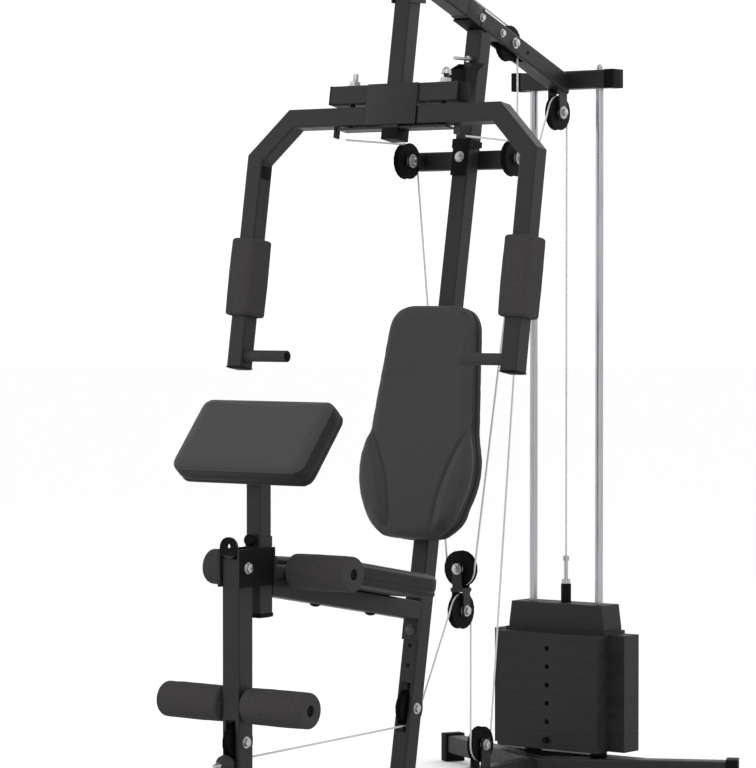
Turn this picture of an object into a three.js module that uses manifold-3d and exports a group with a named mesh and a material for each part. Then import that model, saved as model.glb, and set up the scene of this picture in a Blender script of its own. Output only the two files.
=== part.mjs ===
// Multi station home gym: a welded and bolted frame of square steel tube with a weight stack on
// two guide rods, a lat bar, a press arm carrying two butterfly arms, a seat and back pad, a curl
// pad on a sliding post, and a leg lever, all worked by steel cables over pulleys.
//
// Millimetres, +Z up. The user sits facing -Y, with the weight stack behind at +Y, and the user's
// left hand is towards +X. Everything is laid out from the plane of the guide rods (y = 0), and
// the whole machine is moved at the end so that its origin is the middle of its footprint.
import * as THREE from 'three';
import { mergeVertices } from 'three/addons/utils/BufferGeometryUtils.js';
import Module from 'manifold-3d';

const wasm = await Module();
wasm.setup();

// ---- driving dimensions -------------------------------------------------------------------
const GAP = 0.3;                    // air left between pieces that touch
const TUBE = 45;                    // outside of the frame's square tube
const HALF = TUBE / 2;
const WALL = 2;                     // wall of every square tube
const CORNER = 4;                   // outside corner radius of the tube

const BASE_Z = 45;                  // height of the base tubes' centre line
const BASE_TOP = BASE_Z + HALF;
const CAP_HEIGHT = 72;              // plastic foot caps stand on the floor
const CAP_LENGTH = 28;
const CAP_WIDTH = 53;
const APEX_Y = -127;                // where the two splayed rear legs meet the base beam
const LEG_END_X = 437;
const LEG_END_Y = 108;
const FRONT_FOOT_Y = -1385;
const FRONT_FOOT_HALF = 290;

const UPRIGHT_FOOT = [-683, BASE_TOP];          // y, z on the upright's centre line
const UPRIGHT_LEAN = THREE.MathUtils.degToRad(9.93);
const BOOM_SLOPE = THREE.MathUtils.degToRad(21.07);
const BOOM_REAR = [-HALF - GAP, 1735];          // y, z of the boom's rear end
const BOOM_FRONT_Y = -897;
const CROSSBAR_Z = 1745.5;
const CROSSBAR_HALF = 152;

const ROD_X = 99;
const ROD_RADIUS = 10;

const PULLEY_RADIUS = 44;
const GROOVE_RADIUS = 36.9;
const PULLEY_HALF = 10;
const AXLE_RADIUS = 5;
const CABLE_LINE = 40;              // radius at which a cable's centre runs round a pulley
const CABLE_RADIUS = 2.4;
const SLOT_HALF = 14;               // half width of the slots and forks that hold pulleys
const CHEEK = 4;                    // thickness of pulley fork plates

// Pulley centres as y, z; those on the centre plane unless an x is given
const FRONT_PULLEY = [-862, 2058];
const BOOM_PULLEY = [-253, 1823.7];
const REAR_PULLEY = [-CABLE_LINE, 1664];
const HIGH_FLOAT = [-173, 1564];
const BASE_PULLEY = [-366, 123];
const LOW_FLOAT = [-446, 453];
const CROSS_FLOAT = [-446, 554];    // its axle runs front to back
const UPRIGHT_PULLEY = [-653, 238];
const LEVER_PULLEY = [-1284, 222];
const ARM_PULLEY = [-452, 1535];
const ARM_PULLEY_X = 158;

const PLATE_HEIGHT = 45.6;
const PLATE_COUNT = 6;
const STACK_BOTTOM = 82;
const SLAB_HALF = 196;              // plates are T-shaped in plan: a wide slab behind a block
const BLOCK_HALF = 150;
const SLAB_DEPTH = [-32, 33];
const BLOCK_FRONT = -85;
const STEM_RADIUS = 11;

const SEAT_ANGLE = THREE.MathUtils.degToRad(9.67);
const SEAT_LINE = [-703, 479];      // y, z of a point on the seat tube's centre line
const SEAT_TOP_RISE = HALF / Math.cos(SEAT_ANGLE);
const RECEIVER_Y = -1210;
const RECEIVER_Z = [498, 674];
const POST = 40;                    // square tube that slides in the receiver
const ROLLER_RADIUS = 40;
const ROLLER_AXLE = 12.5;
const THIGH_ROLLER = [-1127, 592];
const THIGH_ROLLER_X = [37, 205];
const SHIN_ROLLER_Z = 304;
const SHIN_ROLLER_X = [34, 207];
const LEVER_HALF = 24.5;           // the lever is a wider tube than the frame
const LEVER_Y = -1284;
const LEVER_FORK = LEVER_HALF + 1;  // half width between the lever's pivot plates
const LEVER_PIVOT_Z = 608;
const LEVER_Z = [130, 628];

const PRESS_PIVOT = [-655, 1919];
const PRESS_LEAN = THREE.MathUtils.degToRad(9.1);
const PRESS_BAR = -243;             // heights below the press pivot, along the leaning tube
const ARM_LEVEL = -295;
const ARM_ELBOW = -390;
const ARM_END = -891;
const ARM_PIVOT_X = 133;
const ARM_INNER_X = 77;
const ARM_BEND_X = 300;
const ARM_OUTER_X = 400;
const SLEEVE_Z = [-769, -583];
const GRIP_Z = -864;

const LAT_BAR_Z = 1984;

// ---- materials ----------------------------------------------------------------------------
function material(color, roughness, metalness) {
  return new THREE.MeshStandardMaterial({ color, roughness, metalness });
}
const paint = () => material(0x333333, 0.45, 0.6);
const chrome = () => material(0xc9c9cc, 0.18, 1);
const blackPlastic = () => material(0x0c0c0c, 0.4, 0);
const foam = () => material(0x3b3838, 0.9, 0);
const vinyl = () => material(0x3a3a3a, 0.6, 0);
const plateGrey = () => material(0x3c3c3c, 0.55, 0.2);
const cableGrey = () => material(0xb8b8b8, 0.4, 0.3);
const rubber = () => material(0x2b2b2b, 0.85, 0);

// ---- solids -------------------------------------------------------------------------------
const at = (x, y, z) => new THREE.Vector3(x, y, z);
const ACROSS = at(1, 0, 0);
const UP = at(0, 0, 1);

function toSolid(geometry) {
  const bare = geometry.clone();
  bare.deleteAttribute('normal');
  bare.deleteAttribute('uv');
  const merged = mergeVertices(bare, 1e-4);
  return new wasm.Manifold(new wasm.Mesh({
    numProp: 3,
    vertProperties: Float32Array.from(merged.attributes.position.array),
    triVerts: Uint32Array.from(merged.index.array),
  }));
}

function toGeometry(solid) {
  const mesh = solid.getMesh();
  const geometry = new THREE.BufferGeometry();
  geometry.setAttribute('position', new THREE.BufferAttribute(mesh.vertProperties, 3));
  geometry.setIndex(new THREE.BufferAttribute(mesh.triVerts, 1));
  return geometry;
}

function join(...geometries) {
  return toGeometry(geometries.map(toSolid).reduce((sum, next) => sum.add(next)));
}

function cut(geometry, ...cutters) {
  return toGeometry(cutters.map(toSolid).reduce((rest, next) => rest.subtract(next), toSolid(geometry)));
}

// A box by its size and centre, tipped about the x axis
function box(sx, sy, sz, centre, tip = 0) {
  return new THREE.BoxGeometry(sx, sy, sz).rotateX(tip).translate(...centre);
}

// A box given by its low and high corners
function block(low, high) {
  const size = high.map((value, i) => value - low[i]);
  const centre = high.map((value, i) => (value + low[i]) / 2);
  return new THREE.BoxGeometry(...size).translate(...centre);
}

// A round bar between two points
function rod(from, to, radius, sides = 16) {
  const length = from.distanceTo(to);
  const turn = new THREE.Quaternion().setFromUnitVectors(
    at(0, 1, 0), to.clone().sub(from).normalize());
  return new THREE.CylinderGeometry(radius, radius, length, sides)
    .applyQuaternion(turn)
    .translate(...from.clone().add(to).multiplyScalar(0.5).toArray());
}

function axle(y, z, reach, radius = AXLE_RADIUS, x = 0) {
  return rod(at(x - reach, y, z), at(x + reach, y, z), radius, 12);
}

function squareOutline(half, radius, steps = 2, Kind = THREE.Shape) {
  const outline = new Kind();
  const inner = half - radius;
  const corners = [[inner, inner, 0], [-inner, inner, 1], [-inner, -inner, 2], [inner, -inner, 3]];
  const points = [];
  for (const [x, y, quarter] of corners) {
    for (let i = 0; i <= steps; i += 1) {
      const angle = (quarter + i / steps) * Math.PI / 2;
      points.push(new THREE.Vector2(x + radius * Math.cos(angle), y + radius * Math.sin(angle)));
    }
  }
  outline.setFromPoints(points);
  return outline;
}

function tubeSection(half = HALF, wall = WALL, radius = CORNER) {
  const section = squareOutline(half, radius);
  section.holes.push(squareOutline(half - wall, Math.max(radius - wall, 0.8), 1, THREE.Path));
  return section;
}

function circleSection(radius, sides) {
  const points = [];
  for (let i = 0; i < sides; i += 1) {
    const angle = 2 * Math.PI * (i + 0.5) / sides;
    points.push(new THREE.Vector2(radius * Math.cos(angle), radius * Math.sin(angle)));
  }
  return new THREE.Shape(points);
}

// Carries a flat section along a line of points with mitred corners. The section's x axis
// follows the vector side.
function sweep(path, section, side) {
  const last = path.length - 1;
  const geometry = new THREE.ExtrudeGeometry(section, { depth: last, steps: last, bevelEnabled: false });
  const along = path.slice(1).map((point, i) => point.clone().sub(path[i]).normalize());
  const place = geometry.attributes.position;
  for (let i = 0; i < place.count; i += 1) {
    const k = Math.round(place.getZ(i));
    const before = along[Math.max(k - 1, 0)];
    const after = along[Math.min(k, last - 1)];
    const mitre = before.clone().add(after).normalize();
    const u = side.clone().addScaledVector(before, -side.dot(before)).normalize();
    const v = before.clone().cross(u);
    const offset = u.multiplyScalar(place.getX(i)).addScaledVector(v, place.getY(i));
    offset.addScaledVector(before, -offset.dot(mitre) / before.dot(mitre));
    place.setXYZ(i, ...offset.add(path[k]).toArray());
  }
  return geometry;
}

const squareTube = (path, side = ACROSS) => sweep(path, tubeSection(), side);
const cableAlong = (path, side = ACROSS) => sweep(path, circleSection(CABLE_RADIUS, 8), side);

// A turned ring about the x axis; profile points are radius, x
function turned(profile, sides) {
  const points = [...profile, profile[0]].map(([radius, x]) => new THREE.Vector2(radius, x));
  return new THREE.LatheGeometry(points, sides).rotateZ(-Math.PI / 2);
}

const gym = new THREE.Group();

function add(name, geometry, finish, parent = gym) {
  const mesh = new THREE.Mesh(geometry, finish);
  mesh.name = name;
  parent.add(mesh);
  return mesh;
}

// ---- base ---------------------------------------------------------------------------------
const legDirection = at(LEG_END_X, LEG_END_Y - APEX_Y, 0).normalize();

function footCollar(length, width, height) {
  const hollow = TUBE - 1;
  return cut(box(length, width, height, [0, 0, height / 2]),
    box(length + 2, hollow, hollow, [0, 0, BASE_Z]));
}

function legBlock(side, grow) {
  const start = at(0, APEX_Y, BASE_Z).addScaledVector(legDirection, -40);
  const length = at(LEG_END_X, LEG_END_Y, BASE_Z).distanceTo(start);
  const size = TUBE + 2 * grow;
  const middle = start.addScaledVector(legDirection, length / 2);
  return new THREE.BoxGeometry(length, size, size)
    .rotateZ(side * Math.atan2(legDirection.y, legDirection.x))
    .translate(side * middle.x, middle.y, middle.z);
}

function rearLeg(side) {
  const start = at(0, APEX_Y, BASE_Z).addScaledVector(legDirection, -40);
  const end = at(LEG_END_X, LEG_END_Y, BASE_Z);
  const path = [start, end].map((point) => at(side * point.x, point.y, point.z));
  const collarMiddle = end.clone().addScaledVector(legDirection, -CAP_LENGTH / 2);
  const collar = footCollar(CAP_LENGTH, CAP_WIDTH, CAP_HEIGHT)
    .rotateZ(side * Math.atan2(legDirection.y, legDirection.x))
    .translate(side * collarMiddle.x, collarMiddle.y, 0);
  const otherSide = box(200, 400, 200, [side * (-100 + GAP), APEX_Y, BASE_Z]);
  return cut(join(squareTube(path, UP), collar), otherSide);
}

function addBase() {
  add('rear_leg_left', rearLeg(1), paint());
  add('rear_leg_right', rearLeg(-1), paint());
  const beam = squareTube([at(0, FRONT_FOOT_Y + HALF + GAP, BASE_Z), at(0, APEX_Y, BASE_Z)]);
  add('base_beam', join(
    cut(beam, legBlock(1, GAP), legBlock(-1, GAP)),
    ...pulleyFork(BASE_PULLEY[0], BASE_TOP - 1, BASE_PULLEY[1] + 16, 34),
    axle(...BASE_PULLEY, SLOT_HALF + 2),
  ), paint());
  const crossTube = squareTube([at(-240, 0, BASE_Z), at(240, 0, BASE_Z)], UP);
  add('stack_base_tube', cut(crossTube, legBlock(1, GAP), legBlock(-1, GAP)), paint());
  const ends = [at(-FRONT_FOOT_HALF, FRONT_FOOT_Y, BASE_Z), at(FRONT_FOOT_HALF, FRONT_FOOT_Y, BASE_Z)];
  const collars = [-1, 1].map((side) => footCollar(CAP_LENGTH, CAP_WIDTH, CAP_HEIGHT)
    .translate(side * (FRONT_FOOT_HALF - CAP_LENGTH / 2), FRONT_FOOT_Y, 0));
  add('front_foot_tube', join(squareTube(ends, UP), ...collars), paint());
}

// ---- upright and top ----------------------------------------------------------------------
function uprightPoint(z) {
  return at(0, UPRIGHT_FOOT[0] + (z - UPRIGHT_FOOT[1]) * Math.tan(UPRIGHT_LEAN), z);
}

function boomZ(y) {
  return BOOM_REAR[1] + (BOOM_REAR[0] - y) * Math.tan(BOOM_SLOPE);
}

function addUpright() {
  const topY = uprightPoint(1870).y;
  const tube = squareTube([uprightPoint(BASE_TOP - 30), uprightPoint(1900)]);
  const floorCut = box(200, 200, 100, [0, UPRIGHT_FOOT[0], BASE_TOP + GAP - 50]);
  const boomFace = HALF + GAP;
  const topCut = box(200, 400, 200,
    [0, topY + Math.sin(BOOM_SLOPE) * (100 - boomFace),
      boomZ(topY) + Math.cos(BOOM_SLOPE) * (100 - boomFace)],
    -BOOM_SLOPE);
  const slot = box(2 * SLOT_HALF, 120, 117, [0, ...UPRIGHT_PULLEY], -UPRIGHT_LEAN);
  const tubeCut = cut(tube, floorCut, topCut, slot);
  add('upright', join(tubeCut, axle(...UPRIGHT_PULLEY, HALF - 0.5)), paint());
}

function pulleyFork(y, zLow, zHigh, width, x = 0) {
  return [-1, 1].map((side) => {
    const inner = side * SLOT_HALF;
    const outer = side * (SLOT_HALF + CHEEK);
    return block([x + Math.min(inner, outer), y - width / 2, zLow],
      [x + Math.max(inner, outer), y + width / 2, zHigh]);
  });
}

function pressBracket() {
  const plate = [4, HALF + 1, HALF + 6];
  const inside = plate[1];
  const outside = plate[2];
  const top = boomZ(PRESS_PIVOT[0]);
  return [-1, 1].flatMap((side) => {
    const xs = [side * inside, side * outside].sort((a, b) => a - b);
    const weld = [side * (HALF - 1), side * (inside + 1)].sort((a, b) => a - b);
    return [
      block([xs[0], PRESS_PIVOT[0] - 30, PRESS_PIVOT[1] - 24], [xs[1], PRESS_PIVOT[0] + 30, top + 8]),
      block([weld[0], PRESS_PIVOT[0] - 28, top - 8], [weld[1], PRESS_PIVOT[0] + 28, top + 6]),
    ];
  });
}

function addBoom() {
  const front = at(0, BOOM_FRONT_Y, boomZ(BOOM_FRONT_Y));
  const tube = squareTube([front, at(0, 20, boomZ(20))]);
  const rearCut = block([-100, BOOM_REAR[0], 1500], [100, 200, 1900]);
  const middleSlot = box(2 * SLOT_HALF, 120, 120, [0, ...BOOM_PULLEY], -BOOM_SLOPE);
  const frontSlot = box(2 * (HALF - WALL), 190, 120,
    [0, FRONT_PULLEY[0] - 42, FRONT_PULLEY[1] + 16], -BOOM_SLOPE);
  const rearFork = pulleyFork(REAR_PULLEY[0], REAR_PULLEY[1] - 15, REAR_PULLEY[1] + 62, 32);
  add('top_boom', join(
    cut(tube, rearCut, middleSlot, frontSlot),
    axle(...BOOM_PULLEY, HALF - 0.5),
    axle(...FRONT_PULLEY, HALF - 0.5),
    ...rearFork,
    axle(...REAR_PULLEY, SLOT_HALF + 2),
    ...pressBracket(),
    axle(...PRESS_PIVOT, HALF + 5, 8),
  ), paint());
  const bar = squareTube([at(-CROSSBAR_HALF, 0, CROSSBAR_Z), at(CROSSBAR_HALF, 0, CROSSBAR_Z)], UP);
  add('rear_crossbar', bar, paint());
}

function addArmPulleyBar() {
  const z = ARM_PULLEY[1];
  const rearFace = uprightPoint(z).y + HALF / Math.cos(UPRIGHT_LEAN);
  const reach = ARM_PULLEY_X + SLOT_HALF + CHEEK;
  const y = rearFace + GAP + HALF + 4.2;
  const tube = squareTube([at(-reach, y, z), at(reach, y, z)], UP);
  const frontFace = y - HALF;
  const forks = [-1, 1].flatMap((side) => [-1, 1].map((cheek) => {
    const inner = side * ARM_PULLEY_X + cheek * SLOT_HALF;
    const outer = side * ARM_PULLEY_X + cheek * (SLOT_HALF + CHEEK);
    return block([Math.min(inner, outer), ARM_PULLEY[0] - 13, z - 13],
      [Math.max(inner, outer), frontFace + 1, z + 13]);
  }));
  const pins = [-1, 1].map((side) => axle(...ARM_PULLEY, SLOT_HALF + 2, AXLE_RADIUS, side * ARM_PULLEY_X));
  add('arm_pulley_bar', join(tube, ...forks, ...pins), paint());
}

function addHangerPin() {
  const z = 1777;
  const face = uprightPoint(z).y - HALF / Math.cos(UPRIGHT_LEAN);
  const collar = rod(at(0, face - 2, z), at(0, face - 14, z), 8);
  const pin = rod(at(0, face - 2, z), at(0, face - 68, z), 4, 12);
  add('hanger_pin', join(collar, pin), chrome());
}

// ---- weight stack -------------------------------------------------------------------------
function plateOutline() {
  const outline = new THREE.Shape();
  outline.moveTo(-BLOCK_HALF, BLOCK_FRONT);
  outline.lineTo(BLOCK_HALF, BLOCK_FRONT);
  outline.lineTo(BLOCK_HALF, SLAB_DEPTH[0]);
  outline.lineTo(SLAB_HALF, SLAB_DEPTH[0]);
  outline.lineTo(SLAB_HALF, SLAB_DEPTH[1]);
  outline.lineTo(-SLAB_HALF, SLAB_DEPTH[1]);
  outline.lineTo(-SLAB_HALF, SLAB_DEPTH[0]);
  outline.lineTo(-BLOCK_HALF, SLAB_DEPTH[0]);
  for (const [x, radius] of [[-ROD_X, ROD_RADIUS + 1], [0, STEM_RADIUS + 0.6], [ROD_X, ROD_RADIUS + 1]]) {
    const hole = new THREE.Path();
    const round = circleSection(radius, 16).getPoints().slice(0, 16);
    hole.setFromPoints(round.map((p) => p.add(new THREE.Vector2(x, 0))));
    outline.holes.push(hole);
  }
  return outline;
}

function plateBody(low, high) {
  return new THREE.ExtrudeGeometry(plateOutline(), { depth: high - low, bevelEnabled: false })
    .translate(0, 0, low);
}

const plateLow = (number) => STACK_BOTTOM + (PLATE_COUNT - number) * PLATE_HEIGHT;
const pinHole = (z, radius) => rod(at(0, BLOCK_FRONT - 5, z), at(0, STEM_RADIUS + 2, z), radius, 12);

function stackCover(low) {
  const flange = block([-150, -50, low - 0.5], [150, 40, low + 8]);
  const body = block([-143.5, -43, low], [143.5, 34, low + 72]);
  const slopes = [-1, 1].map((side) => new THREE.BoxGeometry(40, 200, 120)
    .rotateY(side * THREE.MathUtils.degToRad(-8))
    .translate(side * 157.5, 0, low + 60));
  return join(flange, cut(body, ...slopes));
}

function addWeightStack() {
  for (const side of [-1, 1]) {
    const name = side > 0 ? 'guide_rod_left' : 'guide_rod_right';
    const low = at(side * ROD_X, 0, BASE_TOP + GAP);
    const high = at(side * ROD_X, 0, CROSSBAR_Z - HALF - GAP);
    add(name, rod(low, high, ROD_RADIUS), chrome());
  }
  for (let number = 1; number <= PLATE_COUNT; number += 1) {
    const low = plateLow(number);
    const body = plateBody(low, low + PLATE_HEIGHT - GAP);
    add(`weight_plate_${number}`, cut(body, pinHole(low + PLATE_HEIGHT / 2, 6.5)), plateGrey());
  }
  const topLow = plateLow(0);
  const holes = [-ROD_X, 0, ROD_X].map((x) => rod(at(x, 0, topLow - 1), at(x, 0, topLow + 110),
    x === 0 ? STEM_RADIUS + 0.6 : ROD_RADIUS + 1, 16));
  const topPlate = join(plateBody(topLow, topLow + 15), stackCover(topLow + 15));
  add('stack_top_plate', cut(topPlate, ...holes), plateGrey());
  const stemTop = topLow + 15 + 72;
  const stem = join(
    rod(at(0, 0, STACK_BOTTOM + 4), at(0, 0, stemTop + 58), STEM_RADIUS, 16),
    rod(at(0, 0, stemTop + 50), at(0, 0, stemTop + 104), 5, 12),
    rod(at(0, 0, stemTop + 104), at(0, 0, stemTop + 116), 8, 12),
  );
  const stemHoles = [];
  for (let number = 1; number <= PLATE_COUNT; number += 1) {
    stemHoles.push(pinHole(plateLow(number) + PLATE_HEIGHT / 2, 5.2));
  }
  add('selector_stem', cut(stem, ...stemHoles), chrome());
  const pinZ = plateLow(PLATE_COUNT) + PLATE_HEIGHT / 2;
  add('selector_pin', join(
    rod(at(0, BLOCK_FRONT - 4, pinZ), at(0, STEM_RADIUS, pinZ), 4.6, 12),
    rod(at(0, BLOCK_FRONT - 9, pinZ), at(0, BLOCK_FRONT - 1, pinZ), 8),
  ), blackPlastic());
}

// ---- seat, back pad and curl pad ----------------------------------------------------------
const seatZ = (y) => SEAT_LINE[1] + (SEAT_LINE[0] - y) * Math.tan(SEAT_ANGLE);

function addSeatTube() {
  const tube = squareTube([at(0, -1230, seatZ(-1230)), at(0, -580, seatZ(-580))]);
  const receiverCut = block([-60, -1400, 300], [60, RECEIVER_Y + HALF + GAP, 800]);
  const plateMiddle = uprightPoint(458);
  const normal = at(0, -Math.cos(UPRIGHT_LEAN), Math.sin(UPRIGHT_LEAN));
  const plateCentre = plateMiddle.clone().addScaledVector(normal, HALF + GAP + 2.5);
  const plate = box(TUBE, 5, 128, plateCentre.toArray(), -UPRIGHT_LEAN);
  const uprightCut = box(200, 300, 900,
    plateMiddle.clone().addScaledVector(normal, HALF + GAP - 150).toArray(), -UPRIGHT_LEAN);
  const trimmed = cut(tube, receiverCut, uprightCut);
  const saddle = box(30, 30, 26, [0, THIGH_ROLLER[0], THIGH_ROLLER[1] - 14], -SEAT_ANGLE);
  const rollerAxle = axle(...THIGH_ROLLER, THIGH_ROLLER_X[1] - 8, ROLLER_AXLE);
  add('seat_tube', join(trimmed, plate, saddle, rollerAxle), paint());
}

function roundedPad(width, length, thickness, radius, bevel) {
  const x = width / 2 - bevel;
  const y = length / 2 - bevel;
  const shape = new THREE.Shape();
  shape.moveTo(-x + radius, -y);
  shape.lineTo(x - radius, -y);
  shape.absarc(x - radius, -y + radius, radius, -Math.PI / 2, 0);
  shape.absarc(x - radius, y - radius, radius, 0, Math.PI / 2);
  shape.absarc(-x + radius, y - radius, radius, Math.PI / 2, Math.PI);
  shape.absarc(-x + radius, -y + radius, radius, Math.PI, 1.5 * Math.PI);
  return new THREE.ExtrudeGeometry(shape, {
    depth: thickness - 2 * bevel, bevelEnabled: true, bevelThickness: bevel, bevelSize: bevel,
    bevelSegments: 2, curveSegments: 5,
  }).translate(0, 0, bevel);
}

function addSeatPad() {
  const middle = -896;
  const pad = add('seat_pad', roundedPad(290, 370, 52, 34, 8), vinyl());
  pad.position.set(0, middle, seatZ(middle) + SEAT_TOP_RISE + 1);
  pad.rotation.x = -SEAT_ANGLE;
}

// Half widths of the back pad at heights along it, from its bottom edge
const BACK_PAD_OUTLINE = [
  [46, 0], [80, 9], [113, 32], [136, 56], [152, 86], [162, 116], [167, 149], [167, 176],
  [161, 206], [151, 243], [146, 297], [140, 357], [134, 416], [129, 476], [126, 500],
  [119, 521], [102, 538], [74, 546],
];
const BACK_PAD_LOW_Z = 636;
const BACK_PAD_THICKNESS = 53;

function addBackPad() {
  const bevel = 10;
  const right = BACK_PAD_OUTLINE.map(([x, y]) => new THREE.Vector2(x - bevel, y));
  const side = new THREE.SplineCurve(right).getPoints(30);
  const shape = new THREE.Shape([...side, ...side.map((p) => new THREE.Vector2(-p.x, p.y)).reverse()]);
  const pad = new THREE.ExtrudeGeometry(shape, {
    depth: BACK_PAD_THICKNESS - 2 * bevel, bevelEnabled: true, bevelThickness: bevel,
    bevelSize: bevel, bevelSegments: 2,
  }).translate(0, 0, bevel).rotateX(Math.PI / 2);
  const foot = uprightPoint(BACK_PAD_LOW_Z);
  const mesh = add('back_pad', pad, vinyl());
  mesh.position.set(0, foot.y - (HALF + GAP + 1) / Math.cos(UPRIGHT_LEAN), foot.z);
  mesh.rotation.x = -UPRIGHT_LEAN;
}

function addReceiver() {
  const tube = squareTube([at(0, RECEIVER_Y, RECEIVER_Z[0]), at(0, RECEIVER_Y, RECEIVER_Z[1])]);
  const parts = [tube];
  for (const side of [-1, 1]) {
    const plate = [side * LEVER_FORK, side * (LEVER_FORK + 5)].sort((a, b) => a - b);
    const weld = [side * (HALF - 1), side * (LEVER_FORK + 1)].sort((a, b) => a - b);
    parts.push(block([plate[0], -1315, 566], [plate[1], -1189, 650]));
    parts.push(block([weld[0], RECEIVER_Y - 15, 572], [weld[1], RECEIVER_Y + 15, 644]));
  }
  const eye = rod(at(0, -1340, 657), at(0, -1290, 657), 6, 12);
  const lugTop = rod(at(0, -1315, 653), at(0, -1309, 653), 24, 24);
  const lug = join(block([-LEVER_FORK - 1, -1315, 638], [LEVER_FORK + 1, -1309, 650]), lugTop);
  parts.push(cut(lug, eye));
  parts.push(axle(LEVER_Y, LEVER_PIVOT_Z, LEVER_FORK + 4, 6));
  add('post_receiver', join(...parts), paint());
}

const CURL_PAD = { width: 382, length: 202, thickness: 62, tip: THREE.MathUtils.degToRad(50) };
const CURL_FACE = [-1237, 903];     // y, z of the middle of the curl pad's face

function addCurlPad() {
  const pad = roundedPad(CURL_PAD.width, CURL_PAD.length, CURL_PAD.thickness, 16, 8);
  const mesh = add('curl_pad', pad, vinyl());
  const out = at(0, -Math.sin(CURL_PAD.tip), Math.cos(CURL_PAD.tip));
  const back = at(0, ...CURL_FACE).addScaledVector(out, -CURL_PAD.thickness);
  mesh.position.copy(back);
  mesh.rotation.x = CURL_PAD.tip;
  const section = tubeSection(POST / 2, WALL, 3);
  const post = sweep([at(0, RECEIVER_Y, RECEIVER_Z[0] + 12), at(0, RECEIVER_Y, 900)], section, ACROSS);
  const top = back.clone().addScaledVector(out, -GAP);
  const cutAway = box(300, 400, 100, top.clone().addScaledVector(out, 50).toArray(), CURL_PAD.tip);
  const plate = box(120, 110, 4, top.clone().addScaledVector(out, -2).toArray(), CURL_PAD.tip);
  add('curl_post', join(cut(post, cutAway), plate), paint());
}

// ---- rollers and leg lever ----------------------------------------------------------------
function foamRoller(side, [inner, outer], y, z) {
  const bore = ROLLER_AXLE + 0.4;
  const round = 6;
  const soft = ROLLER_RADIUS;
  const ring = turned([[bore, 0], [soft - round, 0], [soft - 1.7, 1.7], [soft, round],
    [soft, outer - inner - round], [soft - 1.7, outer - inner - 1.7],
    [soft - round, outer - inner], [bore, outer - inner]], 20);
  const low = side > 0 ? inner : -outer;
  return ring.translate(low, y, z);
}

function addRollers() {
  for (const [side, hand] of [[1, 'left'], [-1, 'right']]) {
    add(`thigh_roller_${hand}`, foamRoller(side, THIGH_ROLLER_X, ...THIGH_ROLLER), foam());
    add(`shin_roller_${hand}`, foamRoller(side, SHIN_ROLLER_X, LEVER_Y, SHIN_ROLLER_Z), foam());
  }
  const reach = SHIN_ROLLER_X[1] - 8;
  const spindle = rod(at(-reach, LEVER_Y, SHIN_ROLLER_Z), at(reach, LEVER_Y, SHIN_ROLLER_Z), ROLLER_AXLE);
  add('shin_roller_axle', spindle, chrome());
}

function addLever() {
  const ends = LEVER_Z.map((z) => at(0, LEVER_Y, z));
  const tube = sweep(ends, tubeSection(LEVER_HALF), ACROSS);
  const slotTop = 272;
  const slot = block([-SLOT_HALF, LEVER_Y - 60, LEVER_Z[0] - 10], [SLOT_HALF, LEVER_Y + 60, slotTop]);
  const rollerHole = rod(at(-60, LEVER_Y, SHIN_ROLLER_Z), at(60, LEVER_Y, SHIN_ROLLER_Z), ROLLER_AXLE + GAP);
  const pivotHole = axle(LEVER_Y, LEVER_PIVOT_Z, 60, 6 + GAP);
  const pulleyAxle = axle(...LEVER_PULLEY, LEVER_HALF - 0.5);
  add('leg_lever', join(cut(tube, slot, rollerHole, pivotHole), pulleyAxle), paint());
}

// ---- press arm and butterfly arms ---------------------------------------------------------
// Built in the leaning frame of the press tube, with the pivot at the frame's origin.
function addPressArm() {
  const frame = new THREE.Group();
  frame.position.set(0, ...PRESS_PIVOT);
  frame.rotation.x = -PRESS_LEAN;
  gym.add(frame);

  const tube = squareTube([at(0, 0, -352), at(0, 0, 14)]);
  const pivotHole = axle(0, 0, 60, 8 + GAP);
  const weldGap = block([1 - HALF, -50, ARM_LEVEL - 40], [HALF - 1, 50, PRESS_BAR + 40]);
  const bar = cut(squareTube([at(-185, 0, PRESS_BAR), at(185, 0, PRESS_BAR)], UP), weldGap);
  const armStop = cut(squareTube([at(-68, 0, ARM_LEVEL), at(68, 0, ARM_LEVEL)], UP), weldGap);
  const strap = block([-158, -18, ARM_LEVEL - HALF - 9], [158, 18, ARM_LEVEL - HALF - 4]);
  const bolts = [-1, 1].map((side) => rod(at(side * ARM_PIVOT_X, 0, ARM_LEVEL - HALF - 8),
    at(side * ARM_PIVOT_X, 0, PRESS_BAR + HALF + 30), 6, 12));
  add('press_arm', join(cut(tube, pivotHole), bar, armStop, strap, ...bolts), paint(), frame);

  for (const [side, hand] of [[1, 'left'], [-1, 'right']]) {
    addButterflyArm(frame, side, hand);
  }
}

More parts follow.
